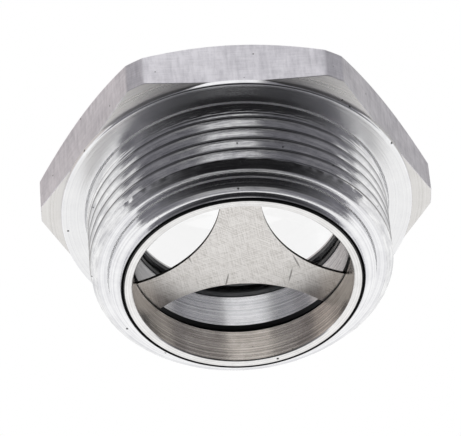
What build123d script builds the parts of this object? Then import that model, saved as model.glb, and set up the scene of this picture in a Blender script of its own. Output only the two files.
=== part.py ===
from build123d import *
import math
import os

# Hexagonal oil level sight glass with a star-shaped reflector, for a G 1 1/2 port in a tank wall.
# Millimetres. +Z runs along the thread axis, out of the tank. The origin is on the axis, in the
# plane of the seating face, so the head is above Z = 0 and the threaded spigot is below it.

os.makedirs("parts", exist_ok=True)

# Head
ACROSS_FLATS = 55.0
CORNER_DIA = 61.8
CHAMFER_FLAT_DIA = 52.0
CHAMFER_ANGLE = 30.0
HEAD_TOP = 9.9
COLLAR_DIA = 55.6
COLLAR_HEIGHT = 1.4
COLLAR_EDGE = 0.2

# Threaded spigot, with the thread itself left as its major diameter
THREAD_DIA = 47.45
THREAD_CHAMFER = 1.2
SEAT_RELIEF = 0.3
SHOULDER_DEPTH = 13.4
SHOULDER_DIA = THREAD_DIA - 2 * THREAD_CHAMFER

# Nose below the thread: a neck that rounds in to a thin lip about the retaining ring
NECK_DIA = 42.0
ROUND_START = 14.3
ROUND_END = 15.15
ROUND_CUTS = 4
LIP_DIA = 38.2
LIP_DEPTH = 16.1

# Bore and window
BORE_DIA = 37.5
BORE_LEAD = 0.1
SILL_HEIGHT = 2.1
SILL_LAND = 0.4
SILL_DIA = 33.8
FUNNEL_ANGLE = 46.5

# Pieces that stack in the bore, from the nose up to the sill
RING_FIT = 0.05
RING_DEPTH = 16.2
RING_HEIGHT = 6.6
RING_INNER_DIA = 34.55
RING_OUTER_CHAMFER = 0.25
RING_INNER_CHAMFER = 0.15
REFLECTOR_THICKNESS = 0.5
REFLECTOR_FIT = 0.3
REFLECTOR_ARC_RADIUS = 19.3
REFLECTOR_WAIST = 6.5
SPACER_INNER_DIA = 34.3
SPACER_CHAMFER = 0.5
SEAL_HEIGHT = 4.4
SEAL_FLANGE = 0.7
SEAL_INNER_DIA = 34.0
SEAL_GAP = 0.3
SEAL_WALL = 0.4

# Sizes that follow from those above
THREAD_R = THREAD_DIA / 2
COLLAR_R = COLLAR_DIA / 2
SHOULDER_R = SHOULDER_DIA / 2
NECK_R = NECK_DIA / 2
LIP_R = LIP_DIA / 2
BORE_R = BORE_DIA / 2
SILL_R = SILL_DIA / 2
FUNNEL_START = SILL_HEIGHT + SILL_LAND
FUNNEL_R = SILL_R + (HEAD_TOP - FUNNEL_START) * math.tan(math.radians(FUNNEL_ANGLE))
HEAD_DROP = (CORNER_DIA - CHAMFER_FLAT_DIA) / 2 * math.tan(math.radians(CHAMFER_ANGLE))
REFLECTOR_BOTTOM = RING_HEIGHT - RING_DEPTH
REFLECTOR_TOP = REFLECTOR_BOTTOM + REFLECTOR_THICKNESS
SEAL_BOTTOM = SILL_HEIGHT - SEAL_HEIGHT
SPACER_HEIGHT = SEAL_BOTTOM - REFLECTOR_TOP
SEAL_R = BORE_R - SEAL_GAP
SEAL_GROOVE_R = SEAL_R - SEAL_WALL
GLASS_R = SEAL_GROOVE_R - SEAL_GAP
GLASS_THICKNESS = SEAL_HEIGHT - 2 * SEAL_FLANGE


def neck_round():
    """Points of a quarter ellipse from the neck in to the lip, as short cuts that keep the facets few."""
    turns = [math.radians(90 * i / ROUND_CUTS) for i in range(ROUND_CUTS + 1)]
    reach = NECK_R - LIP_R
    drop = ROUND_END - ROUND_START
    return [(LIP_R + reach * math.cos(a), -ROUND_START - drop * math.sin(a)) for a in turns]


# Body, turned from hexagonal aluminium bar
with BuildPart() as body:
    with BuildSketch(Plane.XY.offset(COLLAR_HEIGHT)):
        RegularPolygon(radius=ACROSS_FLATS / 2, side_count=6, major_radius=False)
    extrude(amount=HEAD_TOP - COLLAR_HEIGHT)
    # Corners turned off and the window side chamfered
    with BuildSketch(Plane.XZ):
        Polygon(
            (0, COLLAR_HEIGHT),
            (CORNER_DIA / 2, COLLAR_HEIGHT),
            (CORNER_DIA / 2, HEAD_TOP - HEAD_DROP),
            (CHAMFER_FLAT_DIA / 2, HEAD_TOP),
            (0, HEAD_TOP),
            align=None,
        )
    revolve(axis=Axis.Z, mode=Mode.INTERSECT)
    # Collar, seating face, spigot and nose in one turned profile
    with BuildSketch(Plane.XZ):
        Polygon(
            (0, COLLAR_HEIGHT),
            (COLLAR_R, COLLAR_HEIGHT),
            (COLLAR_R, COLLAR_EDGE),
            (COLLAR_R - COLLAR_EDGE, 0),
            (THREAD_R + SEAT_RELIEF, 0),
            (THREAD_R, -SEAT_RELIEF),
            (THREAD_R, THREAD_CHAMFER - SHOULDER_DEPTH),
            (SHOULDER_R, -SHOULDER_DEPTH),
            (NECK_R, -SHOULDER_DEPTH),
            *neck_round(),
            (LIP_R, -LIP_DEPTH),
            (0, -LIP_DEPTH),
            align=None,
        )
    revolve(axis=Axis.Z)
    # Bore from the nose, the sill that holds the window and the funnel in front of it
    with BuildSketch(Plane.XZ):
        Polygon(
            (0, -LIP_DEPTH),
            (BORE_R + BORE_LEAD, -LIP_DEPTH),
            (BORE_R, BORE_LEAD - LIP_DEPTH),
            (BORE_R, SILL_HEIGHT),
            (SILL_R, SILL_HEIGHT),
            (SILL_R, FUNNEL_START),
            (FUNNEL_R, HEAD_TOP),
            (0, HEAD_TOP),
            align=None,
        )
    revolve(axis=Axis.Z, mode=Mode.SUBTRACT)
body.part.label = "body"

# Rubber channel that holds the rim of the glass
with BuildPart() as window_seal:
    with BuildSketch(Plane.XY.offset(SEAL_BOTTOM)):
        Circle(SEAL_R)
        Circle(SEAL_INNER_DIA / 2, mode=Mode.SUBTRACT)
    extrude(amount=SEAL_HEIGHT)
    with BuildSketch(Plane.XY.offset(SEAL_BOTTOM + SEAL_FLANGE)):
        Circle(SEAL_GROOVE_R)
    extrude(amount=GLASS_THICKNESS, mode=Mode.SUBTRACT)
window_seal.part.label = "window_seal"

# Glass disc
with BuildPart() as glass_disc:
    with BuildSketch(Plane.XY.offset(SEAL_BOTTOM + SEAL_FLANGE)):
        Circle(GLASS_R)
    extrude(amount=GLASS_THICKNESS)
glass_disc.part.label = "glass_disc"

# Spacer ring between the seal and the reflector
with BuildPart() as spacer_ring:
    with BuildSketch(Plane.XY.offset(REFLECTOR_TOP)):
        Circle(BORE_R - RING_FIT)
        Circle(SPACER_INNER_DIA / 2, mode=Mode.SUBTRACT)
    extrude(amount=SPACER_HEIGHT)
    lower_edges = spacer_ring.edges().group_by(Axis.Z)[0]
    chamfer(lower_edges.sort_by(SortBy.RADIUS)[0], length=SPACER_CHAMFER)
spacer_ring.part.label = "spacer_ring"

# Reflector, a disc with three arcs cut away to leave three arms
with BuildPart() as reflector:
    with BuildSketch(Plane.XY.offset(REFLECTOR_BOTTOM)):
        Circle(BORE_R - REFLECTOR_FIT)
        with PolarLocations(REFLECTOR_WAIST + REFLECTOR_ARC_RADIUS, 3, start_angle=90):
            Circle(REFLECTOR_ARC_RADIUS, mode=Mode.SUBTRACT)
    extrude(amount=REFLECTOR_THICKNESS)
reflector.part.label = "reflector"

# Retaining ring, pressed in from the nose
with BuildPart() as retaining_ring:
    with BuildSketch(Plane.XY.offset(-RING_DEPTH)):
        Circle(BORE_R - RING_FIT)
        Circle(RING_INNER_DIA / 2, mode=Mode.SUBTRACT)
    extrude(amount=RING_HEIGHT)
    nose_edges = retaining_ring.edges().group_by(Axis.Z)[0].sort_by(SortBy.RADIUS)
    chamfer(nose_edges[-1], length=RING_OUTER_CHAMFER)
    back_edges = retaining_ring.edges().group_by(Axis.Z)[0].sort_by(SortBy.RADIUS)
    chamfer(back_edges[0], length=RING_INNER_CHAMFER)
retaining_ring.part.label = "retaining_ring"

export_step(body.part, "parts/body.step")
export_step(window_seal.part, "parts/window_seal.step")
export_step(glass_disc.part, "parts/glass_disc.step")
export_step(spacer_ring.part, "parts/spacer_ring.step")
export_step(reflector.part, "parts/reflector.step")
export_step(retaining_ring.part, "parts/retaining_ring.step")
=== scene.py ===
import math

import bpy
import numpy as np
from mathutils import Matrix, Vector


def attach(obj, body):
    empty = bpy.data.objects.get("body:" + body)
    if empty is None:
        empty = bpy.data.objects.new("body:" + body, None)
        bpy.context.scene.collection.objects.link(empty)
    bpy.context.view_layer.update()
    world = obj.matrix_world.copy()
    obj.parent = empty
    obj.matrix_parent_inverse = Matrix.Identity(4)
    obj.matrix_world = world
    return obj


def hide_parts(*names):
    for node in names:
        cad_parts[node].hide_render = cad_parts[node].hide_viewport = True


# Hexagonal oil level sight glass: the looks of the CAD part. Sizes are in millimetres, in the part's
# frame (+Z along the thread, out of the tank; Z = 0 is the seating face), and become metres when a mesh
# is made.

MM = 0.001
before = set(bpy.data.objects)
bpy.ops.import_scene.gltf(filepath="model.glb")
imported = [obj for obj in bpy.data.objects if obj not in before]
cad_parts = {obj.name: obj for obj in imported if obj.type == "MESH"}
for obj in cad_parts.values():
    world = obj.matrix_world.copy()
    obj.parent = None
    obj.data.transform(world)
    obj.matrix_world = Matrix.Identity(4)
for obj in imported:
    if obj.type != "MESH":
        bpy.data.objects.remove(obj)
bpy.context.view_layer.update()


# ---------------------------------------------------------------- sizes
# Head: a hexagon with turned corners, on a round collar
APOTHEM = 27.5
CORNER_R = 30.9
CHAMFER_R = 26.0
CHAMFER_TAN = math.tan(math.radians(30.0))
HEAD_TOP = 9.9
EDGE_BREAK = 0.06
COLLAR_R = 27.8
COLLAR_Z = 0.9
COLLAR_ROUND = 0.35
NEAR_FACE_SLOPE = 0.15

# Thread, and the plain land between it and the seating face
THREAD_R = 23.725
PITCH = 2.309
THREAD_DEPTH = 1.42
FLANK_ANGLE = math.radians(27.5)
FLANK_TAN = math.tan(FLANK_ANGLE)
CREST_ROUND = 0.317
ROOT_SOFTNESS = 0.04
CREST_Z = -5.15
CREST_ANGLE = math.radians(-83.0)
# How wide the groove is cut, as a share of the pitch, against turns up from the crest at CREST_Z
GROOVE_TURNS = (-3.75, -3.6, 0.55, 0.75, 1.25, 1.5)
GROOVE_WIDTHS = (0.0, 1.0, 1.0, 0.46, 0.42, 0.0)
LAND_R = 23.85
LAND_TURN = 1.49
LAND_FILLET = 0.22
THREAD_ROW = 0.052

# Shoulder, neck, rounded nose and thin lip
SHOULDER_Z = -13.4
SHOULDER_R = 22.525
SHOULDER_IN = 22.4
SHOULDER_ROUND = 0.06
BURR = 0.05
NECK_TOP = -13.26
NECK_R = 20.85
NECK_FILLET = 0.2
NOSE_R = 19.2
NOSE_Z = -13.06
NOSE_ROUND = 2.207
NOSE_START = -15.2
LIP_R = 19.1
LIP_Z = -16.0
LIP_FILLET = 0.07
LIP_END_R = 19.02
LIP_END_Z = -16.05

# Bore, the sill the seal rests on, and the funnel on the window side
BORE_R = 18.75
BORE_EDGE_Z = -15.72
SILL_Z = 2.1
SILL_R = 16.9
FUNNEL_Z = 2.5
FUNNEL_TAN = math.tan(math.radians(46.5))

# Retaining ring and spacer ring, with the reflector between them
RING_OUT = 18.7
RING_OUT_CHAMFER = 0.2
RING_IN = 17.275
RING_END_BREAK = 0.15
RING_BOTTOM = -16.2
RING_TOP = -9.6
SEAT_IN = 17.5
SEAT_Z = -9.95
SPACER_IN = 17.15
SPACER_BOTTOM = -9.1
SPACER_TOP = -2.3
SPACER_CHAMFER = 0.5


# ---------------------------------------------------------------- meshes
def smooth(x, a, b):
    """Smoothstep of x from 0 at a to 1 at b."""
    t = np.clip((x - a) / (b - a), 0.0, 1.0)
    return t * t * (3.0 - 2.0 * t)


def columns(count, breaks=()):
    """Angles round the axis: count even ones, and the given ones added to them."""
    even = np.arange(count) * (2 * np.pi / count)
    extra = np.mod(np.asarray(breaks, float), 2 * np.pi)
    return np.unique(np.concatenate([even, extra]))


def make_mesh(name, verts, quads, mats, mat_index, sharp=28.0):
    """Object from an array of points in mm and an array of quads, shaded smooth up to sharp degrees."""
    mesh = bpy.data.meshes.new(name)
    n, q = len(verts), len(quads)
    mesh.vertices.add(n)
    mesh.vertices.foreach_set("co", (np.asarray(verts, np.float32) * MM).ravel())
    mesh.loops.add(4 * q)
    mesh.loops.foreach_set("vertex_index", np.asarray(quads, np.int32).ravel())
    mesh.polygons.add(q)
    mesh.polygons.foreach_set("loop_start", np.arange(q, dtype=np.int32) * 4)
    for m in mats:
        mesh.materials.append(m)
    mesh.polygons.foreach_set("material_index", np.asarray(mat_index, np.int32))
    mesh.update(calc_edges=True)
    mesh.validate()
    mesh.shade_smooth()
    mesh.set_sharp_from_angle(angle=math.radians(sharp))
    obj = bpy.data.objects.new(name, mesh)
    bpy.context.scene.collection.objects.link(obj)
    return obj


def lathe(name, rows, theta, mats, row_mats):
    """Closed ring whose section is the loop of rows; each row is (r, z), numbers or arrays over theta.
    Point (i, j) = (r_i(t_j) cos t_j, r_i(t_j) sin t_j, z_i(t_j)), and the rows run anticlockwise in
    (r, z)."""
    one = np.ones_like(theta)
    r = np.array([one * row[0] for row in rows])
    z = np.array([one * row[1] for row in rows])
    pts = np.stack([r * np.cos(theta), r * np.sin(theta), z], -1).reshape(-1, 3)
    a, b = len(rows), len(theta)
    i = np.arange(a)[:, None]
    j = np.arange(b)[None, :]
    i2, j2 = (i + 1) % a, (j + 1) % b
    quads = np.stack([i * b + j, i * b + j2, i2 * b + j2, i2 * b + j], -1).reshape(-1, 4)
    return make_mesh(name, pts, quads, mats, np.repeat(np.asarray(row_mats), b))


def arc(cr, cz, rad, a0, a1, n):
    """Rows on a circle in the (r, z) plane, from a0 to a1 degrees."""
    t = np.radians(np.linspace(a0, a1, n))
    return [(cr + rad * math.cos(x), cz + rad * math.sin(x)) for x in t]


def turns_past_crest(theta, z):
    """Where a point lies on the right-hand helix. turn runs from -0.5 to 0.5 round the axis, from the angle
    of the reference crest, and p is the height over that crest's middle line, in pitches."""
    turn = np.mod((theta - CREST_ANGLE) / (2 * np.pi) + 0.5, 1.0) - 0.5
    return turn, (z - CREST_Z) / PITCH - turn


def thread_radius(theta, z):
    """Pipe thread form. f is the height above the crest below and half is half the groove's width, so
    g = half - |f - half| is how far in from the groove's edge the point lies. The crest is a circle of
    0.1373 P, depth = c - sqrt(c^2 - g^2), up to where it meets the flank at 27.5 degrees; the root is
    rounded at the depth. The groove narrows to nothing on its last turn, where the tool drew out, and on the
    lead chamfer. Past the last groove the cylinder is left a little larger, with a step that follows the
    helix."""
    turn, p = turns_past_crest(theta, z)
    k = np.floor(p)
    half = 0.5 * PITCH * np.interp(k + turn, GROOVE_TURNS, GROOVE_WIDTHS)
    f = (p - k) * PITCH
    g = np.maximum(half - np.abs(f - half), 0.0)
    meet = CREST_ROUND * math.cos(FLANK_ANGLE)
    near = CREST_ROUND - np.sqrt(CREST_ROUND ** 2 - np.minimum(g, meet) ** 2)
    depth = near + np.maximum(g - meet, 0.0) / FLANK_TAN
    depth = -ROOT_SOFTNESS * np.logaddexp(-depth / ROOT_SOFTNESS, -THREAD_DEPTH / ROOT_SOFTNESS)
    fade = 1.0 - smooth(np.abs(turn), 0.3, 0.5)
    land_z = CREST_Z + PITCH * (LAND_TURN + turn * fade)
    step = np.clip((z - land_z) / (LAND_R - THREAD_R), 0.0, 1.0)
    return THREAD_R + step * (LAND_R - THREAD_R) - np.where(step > 0, 0.0, depth)


def store_below_crest(obj):
    """Point attribute below_crest: how many mm each point lies under the nearest crest's middle line, which
    rises one pitch a turn; above it the number is negative, and off the thread it is 1."""
    co = np.empty(3 * len(obj.data.vertices))
    obj.data.vertices.foreach_get("co", co)
    x, y, z = co.reshape(-1, 3).T / MM
    turn, p = turns_past_crest(np.arctan2(y, x), z)
    below = (np.round(p) - p) * PITCH
    below[(np.round(p) + turn > 1.4) | (z > -0.9) | (z < -12.3)] = 1.0
    store = obj.data.attributes.new("below_crest", "FLOAT", "POINT")
    store.data.foreach_set("value", below.astype(np.float32))


# ---------------------------------------------------------------- materials
def linear(code):
    """sRGB hex colour to linear RGBA."""
    c = np.array([int(code[k:k + 2], 16) for k in (1, 3, 5)]) / 255.0
    c = np.where(c <= 0.04045, c / 12.92, ((c + 0.055) / 1.055) ** 2.4)
    return (*c.tolist(), 1.0)


def node(tree, kind, links=None, **settings):
    """Adds a node. settings are its properties or, as in_Name, its inputs; links join sockets to its
    inputs."""
    n = tree.nodes.new(kind)
    for key, value in settings.items():
        if key.startswith("in_"):
            sock = key[3:]
            n.inputs[int(sock) if sock.isdigit() else sock.replace("_", " ")].default_value = value
        else:
            setattr(n, key, value)
    for key, value in (links or {}).items():
        tree.links.new(value, n.inputs[key])
    return n


def material(name):
    """Empty material and its node tree."""
    m = bpy.data.materials.new(name)
    m.use_nodes = True
    m.node_tree.nodes.clear()
    return m, m.node_tree


def turned_metal(name, colour, dark, rough, aniso, line_mm, line_bump, along=0.0, blotch=0.3, pits=0.15,
                 crest_shade=False):
    """Aluminium cut on a lathe: tool lines of about line_mm run round the axis, drawn coarser than the real
    feed so that they show, and highlights fan out across them. The lines and 4.5 mm blotches, mixed by
    blotch, run the colour between dark and colour. A few nicks of about pits mm lie on it. along breaks the
    lines up round the axis. The last flag paints shade on the thread: dark on each crest, fading down the
    flank below."""
    m, t = material(name)
    co = node(t, "ShaderNodeTexCoord").outputs["Object"]
    mm = node(t, "ShaderNodeVectorMath", {0: co}, operation="SCALE", in_Scale=1000.0).outputs[0]
    # section is (distance from the axis, height, angle times along), in which a tool line is one value
    flat = node(t, "ShaderNodeVectorMath", {0: mm}, operation="MULTIPLY", in_1=(1.0, 1.0, 0.0)).outputs[0]
    r = node(t, "ShaderNodeVectorMath", {0: flat}, operation="LENGTH").outputs["Value"]
    xyz = node(t, "ShaderNodeSeparateXYZ", {0: mm})
    a = node(t, "ShaderNodeMath", {0: xyz.outputs[1], 1: xyz.outputs[0]}, operation="ARCTAN2").outputs[0]
    a = node(t, "ShaderNodeMath", {0: a}, operation="MULTIPLY", in_1=along).outputs[0]
    section = node(t, "ShaderNodeCombineXYZ", {0: r, 1: xyz.outputs[2], 2: a}).outputs[0]
    lines = node(t, "ShaderNodeTexNoise", {0: section}, in_Scale=1.0 / line_mm, in_Detail=3.0,
                 in_Roughness=0.7).outputs[0]
    patch = node(t, "ShaderNodeTexNoise", {0: mm}, in_Scale=0.22, in_Detail=8.0, in_Roughness=0.72)
    mix = node(t, "ShaderNodeMix", {2: lines, 3: patch.outputs[0]}, in_0=blotch).outputs[0]
    share = node(t, "ShaderNodeMapRange", {0: mix}, in_1=0.32, in_2=0.6).outputs[0]
    base = node(t, "ShaderNodeMix", {0: share}, data_type="RGBA", in_6=linear(dark),
                in_7=linear(colour)).outputs[2]
    # nicks: dark ragged spots, at most one in each cell of 3.3 mm
    ragged = node(t, "ShaderNodeMix", {4: mm, 5: patch.outputs[1]}, data_type="VECTOR",
                  in_0=0.04).outputs[1]
    spot = node(t, "ShaderNodeTexVoronoi", {0: ragged}, in_Scale=0.3).outputs[0]
    nick = node(t, "ShaderNodeMapRange", {0: spot}, in_1=0.2 * pits, in_2=0.32 * pits).outputs[0]
    base = node(t, "ShaderNodeMix", {0: nick, 7: base}, data_type="RGBA", in_6=linear("#2c2b2b")).outputs[2]
    if crest_shade:
        # painted shade: dark from just above the crest's middle line to 0.38 mm below it
        below = node(t, "ShaderNodeAttribute", attribute_name="below_crest").outputs["Fac"]
        unshaded_below = node(t, "ShaderNodeMapRange", {0: below}, in_1=-0.02, in_2=0.38).outputs[0]
        above = node(t, "ShaderNodeMapRange", {0: below}, in_1=-0.06, in_2=-0.13).outputs[0]
        share = node(t, "ShaderNodeMath", {0: unshaded_below, 1: above}, operation="MAXIMUM").outputs[0]
        base = node(t, "ShaderNodeMix", {0: share, 7: base}, data_type="RGBA",
                    in_6=linear("#47474b")).outputs[2]
    rgh = node(t, "ShaderNodeMapRange", {0: lines}, in_1=0.3, in_2=0.7, in_3=rough * 0.8,
               in_4=rough * 1.25).outputs[0]
    bump = node(t, "ShaderNodeBump", {"Height": lines}, in_Strength=line_bump,
                in_Distance=0.00008).outputs[0]
    tangent = node(t, "ShaderNodeTangent", direction_type="RADIAL", axis="Z").outputs[0]
    wired = {"Base Color": base, "Roughness": rgh, "Normal": bump, "Tangent": tangent}
    p = node(t, "ShaderNodeBsdfPrincipled", wired, in_Metallic=1.0, in_Anisotropic=aniso,
             in_Anisotropic_Rotation=0.25)
    node(t, "ShaderNodeOutputMaterial", {0: p.outputs[0]})
    return m


def bar_metal(name, colour, dark):
    """Drawn hexagonal bar: a duller skin. Draw streaks 0.7 mm wide and 4.5 mm long run along Z, scratches
    0.25 mm wide and 4 mm long cross them, blotches are about 6 mm across, and small pits lie in cells of
    2.5 mm."""
    m, t = material(name)
    co = node(t, "ShaderNodeTexCoord").outputs["Object"]
    mm = node(t, "ShaderNodeVectorMath", {0: co}, operation="SCALE", in_Scale=1000.0).outputs[0]
    drawn = node(t, "ShaderNodeMapping", {0: mm}, in_Scale=(1.5, 1.5, 0.22)).outputs[0]
    streaks = node(t, "ShaderNodeTexNoise", {0: drawn}, in_Scale=1.0, in_Detail=4.0,
                   in_Roughness=0.65).outputs[0]
    crossed = node(t, "ShaderNodeMapping", {0: mm}, in_Scale=(0.25, 0.25, 4.0)).outputs[0]
    fine = node(t, "ShaderNodeTexNoise", {0: crossed}, in_Scale=1.0, in_Detail=3.0,
                in_Roughness=0.6).outputs[0]
    patch = node(t, "ShaderNodeTexNoise", {0: mm}, in_Scale=0.16, in_Detail=6.0, in_Roughness=0.75)
    mix = node(t, "ShaderNodeMix", {2: streaks, 3: fine}, in_0=0.35).outputs[0]
    mix = node(t, "ShaderNodeMix", {2: mix, 3: patch.outputs[0]}, in_0=0.45).outputs[0]
    share = node(t, "ShaderNodeMapRange", {0: mix}, in_1=0.38, in_2=0.58).outputs[0]
    base = node(t, "ShaderNodeMix", {0: share}, data_type="RGBA", in_6=linear(dark),
                in_7=linear(colour)).outputs[2]
    ragged = node(t, "ShaderNodeMix", {4: mm, 5: patch.outputs[1]}, data_type="VECTOR",
                  in_0=0.04).outputs[1]
    spot = node(t, "ShaderNodeTexVoronoi", {0: ragged}, in_Scale=0.4).outputs[0]
    nick = node(t, "ShaderNodeMapRange", {0: spot}, in_1=0.03, in_2=0.07).outputs[0]
    base = node(t, "ShaderNodeMix", {0: nick, 7: base}, data_type="RGBA", in_6=linear("#4a4642")).outputs[2]
    bump = node(t, "ShaderNodeBump", {"Height": mix}, in_Strength=0.5, in_Distance=0.0001).outputs[0]
    p = node(t, "ShaderNodeBsdfPrincipled", {"Base Color": base, "Normal": bump}, in_Metallic=1.0,
             in_Roughness=0.5)
    node(t, "ShaderNodeOutputMaterial", {0: p.outputs[0]})
    return m


def plain_gloss(name, colour, rough):
    """Material with one colour and one roughness, for black pieces that show no pattern."""
    m, t = material(name)
    p = node(t, "ShaderNodeBsdfPrincipled", in_Roughness=rough, in_Base_Color=linear(colour))
    node(t, "ShaderNodeOutputMaterial", {0: p.outputs[0]})
    return m


def sheet_metal():
    """Rolled aluminium sheet. Scratches 0.14 mm wide and 3 to 4 mm long cross each other in three directions.
    A few deep ones, at most one in each cell of 44 x 4 mm, run along two more. The sheared edges are dark."""
    m, t = material("rolled_aluminium_sheet")
    coords = node(t, "ShaderNodeTexCoord")
    mm = node(t, "ShaderNodeVectorMath", {0: coords.outputs["Object"]}, operation="SCALE",
              in_Scale=1000.0).outputs[0]
    total = None
    for turn, length in ((-0.35, 4.0), (0.6, 3.0), (1.4, 3.0)):
        laid = node(t, "ShaderNodeMapping", {0: mm}, vector_type="TEXTURE", in_Rotation=(0.0, 0.0, turn),
                    in_Scale=(length, 0.14, 10.0)).outputs[0]
        one = node(t, "ShaderNodeTexNoise", {0: laid}, in_Scale=1.0, in_Detail=3.0,
                   in_Distortion=0.3).outputs[0]
        if total is None:
            total = one
        else:
            total = node(t, "ShaderNodeMath", {0: total, 1: one}, operation="ADD").outputs[0]
    share = node(t, "ShaderNodeMapRange", {0: total}, in_1=1.2, in_2=1.62).outputs[0]
    base = node(t, "ShaderNodeMix", {0: share}, data_type="RGBA", in_6=linear("#c6c2bd"),
                in_7=linear("#ebe8e5")).outputs[2]
    for turn in (1.2, 1.75):
        laid = node(t, "ShaderNodeMapping", {0: mm}, vector_type="TEXTURE", in_Rotation=(0.0, 0.0, turn),
                    in_Location=(2.0 * turn, 0.0, 0.0), in_Scale=(44.0, 4.0, 100.0)).outputs[0]
        spot = node(t, "ShaderNodeTexVoronoi", {0: laid}, voronoi_dimensions="2D", in_Scale=1.0).outputs[0]
        clear = node(t, "ShaderNodeMapRange", {0: spot}, in_1=0.02, in_2=0.045, in_3=0.35).outputs[0]
        base = node(t, "ShaderNodeMix", {0: clear, 7: base}, data_type="RGBA",
                    in_6=linear("#4d4843")).outputs[2]
    bump = node(t, "ShaderNodeBump", {"Height": total}, in_Strength=0.35, in_Distance=0.00005).outputs[0]
    facing = node(t, "ShaderNodeSeparateXYZ", {0: coords.outputs["Normal"]}).outputs[2]
    edge = node(t, "ShaderNodeMath", {0: facing}, operation="COMPARE", in_1=0.0, in_2=0.5).outputs[0]
    base = node(t, "ShaderNodeMix", {0: edge, 6: base}, data_type="RGBA", in_7=linear("#25221f")).outputs[2]
    p = node(t, "ShaderNodeBsdfPrincipled", {"Base Color": base, "Normal": bump}, in_Metallic=1.0,
             in_Roughness=0.36)
    node(t, "ShaderNodeOutputMaterial", {0: p.outputs[0]})
    return m


def clear_glass():
    """Float glass with the index 1.5. Its ground rim is painted near black, standing for the black rubber
    seen through it.
    """
    m, t = material("float_glass")
    clear = node(t, "ShaderNodeBsdfPrincipled", in_Base_Color=linear("#ffffff"), in_Roughness=0.0,
                 in_IOR=1.5, in_Transmission_Weight=1.0, in_Specular_IOR_Level=0.3)
    rim = node(t, "ShaderNodeBsdfPrincipled", in_Base_Color=linear("#1d2022"), in_Roughness=0.6)
    facing = node(t, "ShaderNodeSeparateXYZ", {0: node(t, "ShaderNodeTexCoord").outputs["Normal"]}).outputs[2]
    edge = node(t, "ShaderNodeMath", {0: facing}, operation="COMPARE", in_1=0.0, in_2=0.5).outputs[0]
    both = node(t, "ShaderNodeMixShader", {0: edge, 1: clear.outputs[0], 2: rim.outputs[0]})
    node(t, "ShaderNodeOutputMaterial", {0: both.outputs[0]})
    return m


# Faced aluminium, cut across the bar: near white, with faint rings and soft wide highlights
mat_face = turned_metal("faced_aluminium", "#f2f2f2", "#dfdfe1", 0.17, 0.7, 0.22, 0.25, pits=0.22)
# Turned ring's end: a little duller and warmer, with rings that show
mat_ring = turned_metal("turned_aluminium_ring", "#f2f1f0", "#bdbbb9", 0.2, 0.7, 0.35, 0.5, pits=0.22)
# Finish-turned outside: bright and smooth, so it mirrors the room in long bands
mat_side = turned_metal("turned_aluminium", "#f6f6f7", "#d2d2d6", 0.12, 0.6, 0.25, 0.3, blotch=0.4, pits=0.22)
# Single-point cut thread: mirror-like flanks with a mottle, and painted shade in a dark line on each crest
mat_thread = turned_metal("thread_cut_aluminium", "#f6f6f6", "#bcbcc0", 0.14, 0.4, 0.35, 0.25, along=2.0,
                          blotch=0.45, crest_shade=True)
# Bored inner wall of the retaining ring: warm, and dark in its lines
mat_bore = turned_metal("bored_aluminium", "#ddd6cf", "#5d544c", 0.22, 0.7, 0.3, 0.6)
# Coarsely turned inner wall of the spacer: cool grey with strong rings
mat_spacer = turned_metal("turned_aluminium_spacer", "#f0f0f2", "#a9aaaf", 0.24, 0.6, 0.4, 0.5)
# Inner corners left by the tool's round nose: pale and matt, so they read as thin bright lines
mat_corner = turned_metal("aluminium_corner_radius", "#ffffff", "#f4f4f6", 0.85, 0.0, 0.3, 0.2, pits=0.1)
# Painted shade in the slots beside the reflector and the ring, and on the lip's end: black, with a dull shine
mat_gap_shade = plain_gloss("painted_gap_shade", "#0f1011", 0.35)
# Rough-faced aluminium on the hexagon's near face: wide soft highlights and a slightly warm grey
mat_rough_face = turned_metal("rough_faced_aluminium", "#e6e4e2", "#cfcdca", 0.3, 0.7, 0.3, 0.3)
# Drawn aluminium bar on the six flats: matt, faintly violet, with streaks along the bar
mat_flat = bar_metal("drawn_aluminium_bar", "#f0eef3", "#cfcdd3")
# Rolled aluminium sheet: even satin grey that shows scratches but no reflections
mat_sheet = sheet_metal()
# Moulded nitrile rubber: near black with a soft shine
mat_rubber = plain_gloss("nitrile_rubber", "#34373a", 0.3)
# Float glass: seen only by its rim, painted near black for the rubber behind it, and by faint reflections
mat_glass = clear_glass()


# ---------------------------------------------------------------- body
# Columns meet every edge between a flat and a turned corner
half_facet = math.acos(APOTHEM / CORNER_R)
facets = [math.radians(60 * k) + s * (math.radians(30) - half_facet) for k in range(6) for s in (-1, 1)]
theta = columns(300, facets)
sector = np.mod(theta, math.pi / 3) - math.pi / 6
hex_r = np.minimum(APOTHEM / np.cos(sector), CORNER_R)

FACE, SIDE, THREAD, FLAT, CORNER, NEAR_FACE, GAP = range(7)
body_mats = [mat_face, mat_side, mat_thread, mat_flat, mat_corner, mat_rough_face, mat_gap_shade]
rows, row_mats = [], []


def add(points, mat):
    """Rows whose strips up to the next row take this material."""
    for p in points:
        rows.append(p)
        row_mats.append(mat)


# Lip, nose, neck and shoulder, from the bore outwards
# The lip's end and its inner edge, against the retaining ring, carry painted gap shade
add([(BORE_R, BORE_EDGE_Z), (LIP_END_R, LIP_END_Z)], GAP)
add([(LIP_R, LIP_Z)], SIDE)
add(arc(LIP_R + LIP_FILLET, NOSE_START, LIP_FILLET, 180, 125, 3), SIDE)
add(arc(NOSE_R, NOSE_Z, NOSE_ROUND, -90, -41.6, 22), SIDE)
add([(NECK_R, NECK_TOP - NECK_FILLET)], CORNER)
add(arc(NECK_R + NECK_FILLET, NECK_TOP - NECK_FILLET, NECK_FILLET, 180, 90, 6)[1:-1], CORNER)
add([(NECK_R + NECK_FILLET, NECK_TOP), (SHOULDER_IN, SHOULDER_Z)], SIDE)
add([(SHOULDER_R, SHOULDER_Z + SHOULDER_ROUND)], THREAD)

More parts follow.
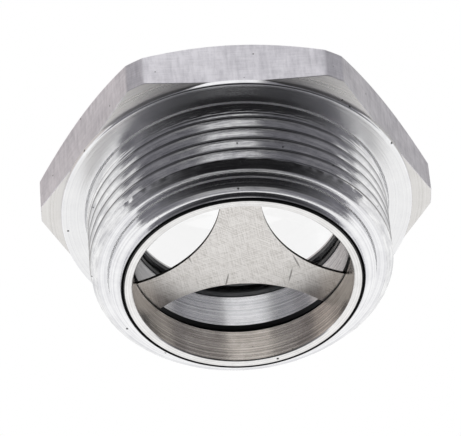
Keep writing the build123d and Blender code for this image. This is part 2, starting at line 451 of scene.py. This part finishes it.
# Thread, cut off by the 45 degree lead chamfer. torn is the burr that the tool left on the chamfer's edge: a
# sum of sines round the axis, one of them swelling and fading
ripples = np.sin(61 * theta) * np.sin(23 * theta) + 0.6 * np.sin(74 * theta + 1.0) + 0.5 * np.sin(37 * theta)
torn = BURR * ripples
for z in np.concatenate([np.arange(-13.3, -1.0, THREAD_ROW), [-0.95, -0.6, -0.35]]):
    limit = SHOULDER_R + (z - SHOULDER_Z) + torn * smooth(z, -12.8, -12.3)
    add([(np.minimum(thread_radius(theta, z), limit), z)], THREAD)

# Seating face and collar
add(arc(LAND_R + LAND_FILLET, -LAND_FILLET, LAND_FILLET, 180, 90, 6)[:-1], CORNER)
add([(LAND_R + LAND_FILLET, 0.0), (25.0, 0.0), (26.0, 0.0), (27.0, 0.0)], FACE)
add(arc(COLLAR_R - COLLAR_ROUND, COLLAR_ROUND, COLLAR_ROUND, -90, 0, 6), SIDE)
add([(COLLAR_R, COLLAR_Z)], NEAR_FACE)

# Hexagon: a near face that slopes a little, flats, and the chamfer on the window side
near_z = COLLAR_Z + NEAR_FACE_SLOPE * np.maximum(hex_r - COLLAR_R, 0.0)
chamfer_z = HEAD_TOP - (hex_r - CHAMFER_R) * CHAMFER_TAN
add([(hex_r - EDGE_BREAK, near_z), (hex_r, near_z + EDGE_BREAK)], FLAT)
for k in (0.33, 0.66):
    add([(hex_r, near_z + k * (chamfer_z - near_z))], FLAT)
add([(hex_r, chamfer_z)], SIDE)
add([(CHAMFER_R + 0.5 * (hex_r - CHAMFER_R), HEAD_TOP - 0.5 * (hex_r - CHAMFER_R) * CHAMFER_TAN)], SIDE)

# Window face, funnel, sill and bore
funnel_r = SILL_R + (HEAD_TOP - FUNNEL_Z) * FUNNEL_TAN
add([(CHAMFER_R, HEAD_TOP), (0.5 * (CHAMFER_R + funnel_r), HEAD_TOP)], FACE)
add([(funnel_r, HEAD_TOP)], SIDE)
for k in (0.8, 0.6, 0.4, 0.2):
    add([(SILL_R + k * (funnel_r - SILL_R), FUNNEL_Z + k * (HEAD_TOP - FUNNEL_Z))], SIDE)
add([(SILL_R, FUNNEL_Z), (SILL_R, SILL_Z)], SIDE)
add([(BORE_R, SILL_Z), (BORE_R, SPACER_TOP), (BORE_R, -9.3)], SIDE)

body = lathe("sight_glass_body", rows, theta, body_mats, row_mats)
# below_crest places the thread's painted crest shade
store_below_crest(body)
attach(body, "root")
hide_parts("body")

# ---------------------------------------------------------------- rings
ring_theta = columns(240)
# The ring's outer edge and the seat of the reflector carry painted shade, black for the gaps they lie in; the
# rest is turned
RING_END, RING_WALL, RING_GAP = range(3)
ring_mats = [mat_ring, mat_bore, mat_gap_shade]
ring_rows = [(RING_IN + RING_END_BREAK, RING_BOTTOM), (RING_OUT - RING_OUT_CHAMFER, RING_BOTTOM)]
ring_rows += [(RING_OUT, RING_BOTTOM + RING_OUT_CHAMFER), (RING_OUT, RING_TOP)]
ring_rows += [(SEAT_IN, RING_TOP), (RING_IN, SEAT_Z)]
ring_rows += [(RING_IN, z) for z in (-11.0, -13.0, -15.0, RING_BOTTOM + RING_END_BREAK)]
ring_row_mats = [RING_END, RING_GAP, RING_GAP, RING_WALL, RING_GAP] + [RING_WALL] * 4 + [RING_END]
ring = lathe("retaining_ring_turned", ring_rows, ring_theta, ring_mats, ring_row_mats)
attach(ring, "root")
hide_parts("retaining_ring")

# The spacer's underside and its chamfer, beside the reflector, carry painted gap shade too
SPACER_WALL, SPACER_GAP = range(2)
spacer_rows = [(SPACER_IN + SPACER_CHAMFER, SPACER_BOTTOM), (RING_OUT, SPACER_BOTTOM)]
spacer_rows += [(RING_OUT, SPACER_TOP), (SPACER_IN, SPACER_TOP)]
spacer_rows += [(SPACER_IN, z) for z in (-4.0, -6.0, SPACER_BOTTOM + SPACER_CHAMFER)]
spacer_row_mats = [SPACER_GAP] + [SPACER_WALL] * 5 + [SPACER_GAP]
spacer = lathe("spacer_ring_turned", spacer_rows, ring_theta, [mat_spacer, mat_gap_shade], spacer_row_mats)
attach(spacer, "root")
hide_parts("spacer_ring")

# Reflector, seal and glass keep their CAD shapes
for name, mat in (("reflector", mat_sheet), ("window_seal", mat_rubber), ("glass_disc", mat_glass)):
    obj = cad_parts[name]
    obj.data.materials.clear()
    obj.data.materials.append(mat)

# ---------------------------------------------------------------- camera
# Long lens, below and in front of the part, looking up into the tank side. SHIFT is the way from the camera
# to the middle of the nose's end, to the right, up and back, in units of UNIT mm.
UNIT = 18.68
SENSOR_MM = 36.0
IMAGE_WIDTH = 461.0
FOCAL = 4638.0  # focal length, in the unit of IMAGE_WIDTH
ELEV, ROLL, TURN = math.radians(-44.51), math.radians(4.90), math.radians(3.13)
SHIFT = (0.108, -0.559, -38.60)
back = Vector((0.0, -math.cos(ELEV), math.sin(ELEV)))
up0 = Vector((0.0, math.sin(ELEV), math.cos(ELEV)))
right0 = Vector((1.0, 0.0, 0.0))
up = math.cos(ROLL) * up0 + math.sin(ROLL) * right0
right = math.cos(ROLL) * right0 - math.sin(ROLL) * up0
place = -(SHIFT[0] * right + SHIFT[1] * up + SHIFT[2] * back)
spin = Matrix.Rotation(-TURN, 3, "Z")
place, right, up, back = (spin @ v for v in (place, right, up, back))
cam_data = bpy.data.cameras.new("camera")
cam_data.sensor_width = SENSOR_MM
cam_data.lens = FOCAL * SENSOR_MM / IMAGE_WIDTH
cam_data.clip_start = 0.01
cam_data.clip_end = 10.0
cam = bpy.data.objects.new("camera", cam_data)
bpy.context.scene.collection.objects.link(cam)
turned = Matrix((right, up, back)).transposed().to_4x4()
cam.matrix_world = Matrix.Translation((place * UNIT + Vector((0, 0, RING_BOTTOM))) * MM) @ turned
bpy.context.scene.camera = cam


# ---------------------------------------------------------------- floor, light
# Places and sizes from here on are in metres
def plane(name, centre, normal, size_x, size_y, mat):
    """Flat rectangle with the given centre and facing."""
    n = Vector(normal).normalized()
    ref = Vector((0, 0, 1)) if abs(n.z) < 0.9 else Vector((0, 1, 0))
    u = ref.cross(n).normalized()
    v = n.cross(u)
    c = Vector(centre)
    corners = ((-1, -1), (1, -1), (1, 1), (-1, 1))
    pts = [c + u * (i * size_x / 2) + v * (j * size_y / 2) for i, j in corners]
    mesh = bpy.data.meshes.new(name)
    mesh.from_pydata([tuple(p) for p in pts], [], [(0, 1, 2, 3)])
    mesh.materials.append(mat)
    obj = bpy.data.objects.new(name, mesh)
    bpy.context.scene.collection.objects.link(obj)
    return obj


def floor_material():
    """Pale matt floor, seen from above only."""
    m, t = material("floor")
    geo = node(t, "ShaderNodeNewGeometry")
    pale = node(t, "ShaderNodeBsdfDiffuse", in_Color=linear("#f2f2f2"))
    clear = node(t, "ShaderNodeBsdfTransparent")
    below = geo.outputs["Backfacing"]
    mixed = node(t, "ShaderNodeMixShader", {0: below, 1: pale.outputs[0], 2: clear.outputs[0]})
    node(t, "ShaderNodeOutputMaterial", {0: mixed.outputs[0]})
    return m


def glow(name, level):
    """Card of one plain brightness, (red, green, blue) in linear light."""
    m, t = material(name)
    d = node(t, "ShaderNodeEmission", in_Color=(*level, 1.0))
    node(t, "ShaderNodeOutputMaterial", {0: d.outputs[0]})
    return m


FLOOR_SIZE = 3.0
FLOOR_Z = (RING_BOTTOM - 0.02) * MM
floor = plane("floor", (0, 0, FLOOR_Z), (0, 0, 1), FLOOR_SIZE, FLOOR_SIZE, floor_material())
for flag in ("visible_diffuse", "visible_glossy", "visible_transmission", "visible_shadow"):
    setattr(floor, flag, False)


def shown_in_reflections_only(obj):
    """Hides a piece of the room from the camera, so that only metal and glass show it."""
    obj.visible_camera = False
    obj.visible_shadow = False
    obj.visible_diffuse = False


def cap(name, centre, half_angle, radius, mat, top=1.0, wide=1.0, rings=40, count=96):
    """Part of a sphere about the origin, up to half_angle degrees from the direction centre, times wide to
    the sides, and with its z below top times the radius. Point (i, j) lies i/rings of the way out, at j/count
    of a turn."""
    c = Vector(centre).normalized()
    u = c.cross(Vector((0, 0, 1))).normalized()
    v = u.cross(c)
    turn = 2 * np.pi * np.arange(count)[None, :] / count
    edge = np.radians(half_angle) * (1.0 + (wide - 1.0) * np.cos(turn) ** 2)
    out = edge * np.arange(rings + 1)[:, None] / rings
    pts = (np.cos(out)[..., None] * np.array(c)
           + (np.sin(out) * np.cos(turn))[..., None] * np.array(u)
           + (np.sin(out) * np.sin(turn))[..., None] * np.array(v)) * radius
    i = np.arange(rings)[:, None]
    j = np.arange(count)[None, :]
    j2 = (j + 1) % count
    quads = np.stack([i * count + j, i * count + j2, (i + 1) * count + j2, (i + 1) * count + j], -1)
    quads = quads.reshape(-1, 4)
    flat = pts.reshape(-1, 3)
    keep = flat[quads][:, :, 2].max(1) < top * radius
    obj = make_mesh(name, flat / MM, quads[keep], [mat], np.zeros(int(keep.sum())))
    shown_in_reflections_only(obj)


def light_card(name, below, x0, x1, width, level, distance=0.45):
    """Bright card that faces the part from the direction below degrees down from straight up towards the
    front. It spans x0 to x1 of the distance sideways and width degrees up and down."""
    ang = math.radians(below)
    way = Vector((0.0, -math.sin(ang), math.cos(ang)))
    centre = way * distance + Vector(((x0 + x1) / 2 * distance, 0, 0))
    high = 2 * distance * math.tan(math.radians(width / 2))
    obj = plane(name, centre, -way, (x1 - x0) * distance, high, glow(name + "_white", (level, level, level)))
    shown_in_reflections_only(obj)


# Dim side of the room round the lens, and the lens hood, darker step by step towards its middle
dim_room = glow("dim_room", (0.215, 0.213, 0.232))
cap("room_beyond_lens", (0.07, -0.8, -0.6), 73, 0.60, dim_room, top=0.15)
cap("room_above_lens", (0.03, -0.95, 0.3), 71, 0.58, dim_room, top=0.78)
for step, level in enumerate((0.13, 0.09, 0.055, 0.03, 0.015)):
    hood = glow("hood_%d" % step, (level, level, 1.06 * level))
    cap("lens_hood_%d" % step, (0.07, -0.76, -0.65), 38 - 5 * step, 0.52 - 0.01 * step, hood, wide=1.55)

# Walls above and behind the part, to its left and right
cap("wall_left", (-0.64, 0.32, 0.7), 36, 0.7, glow("warm_wall", (0.66, 0.62, 0.6)))
cap("wall_right", (0.6, 0.39, 0.7), 30, 0.7, glow("grey_wall", (0.5, 0.49, 0.48)))

# Softbox high in front, with an edge that fades out, and windows almost straight below the part
light_card("softbox_high", 50, -0.33, 0.22, 39, 1.05)
light_card("softbox_edge", 50, -0.4, 0.26, 41, 0.72, 0.46)
light_card("softbox_fade", 50, -0.46, 0.3, 43, 0.4, 0.47)
light_card("window_low", 173, -0.24, 0.02, 15, 0.5)
light_card("window_low_edge", 173, -0.34, 0.1, 16, 0.36, 0.46)
light_card("window_low_right", 173, 0.14, 0.3, 15, 0.34)

# White room: a strength of 1 lights the part, and the camera sees it as a white backdrop
world = bpy.data.worlds.new("studio")
world.use_nodes = True
sky = world.node_tree
sky.nodes.clear()
rays = node(sky, "ShaderNodeLightPath")
backdrop = node(sky, "ShaderNodeBackground", in_Color=(1.0, 1.0, 1.0, 1.0), in_Strength=1.0)
room = node(sky, "ShaderNodeBackground", in_Color=(1.0, 1.0, 1.0, 1.0), in_Strength=1.0)
by_camera = rays.outputs["Is Camera Ray"]
shown = node(sky, "ShaderNodeMixShader", {0: by_camera, 1: room.outputs[0], 2: backdrop.outputs[0]})
node(sky, "ShaderNodeOutputWorld", {0: shown.outputs[0]})
bpy.context.scene.world = world
bpy.context.scene.view_settings.view_transform = "Standard"
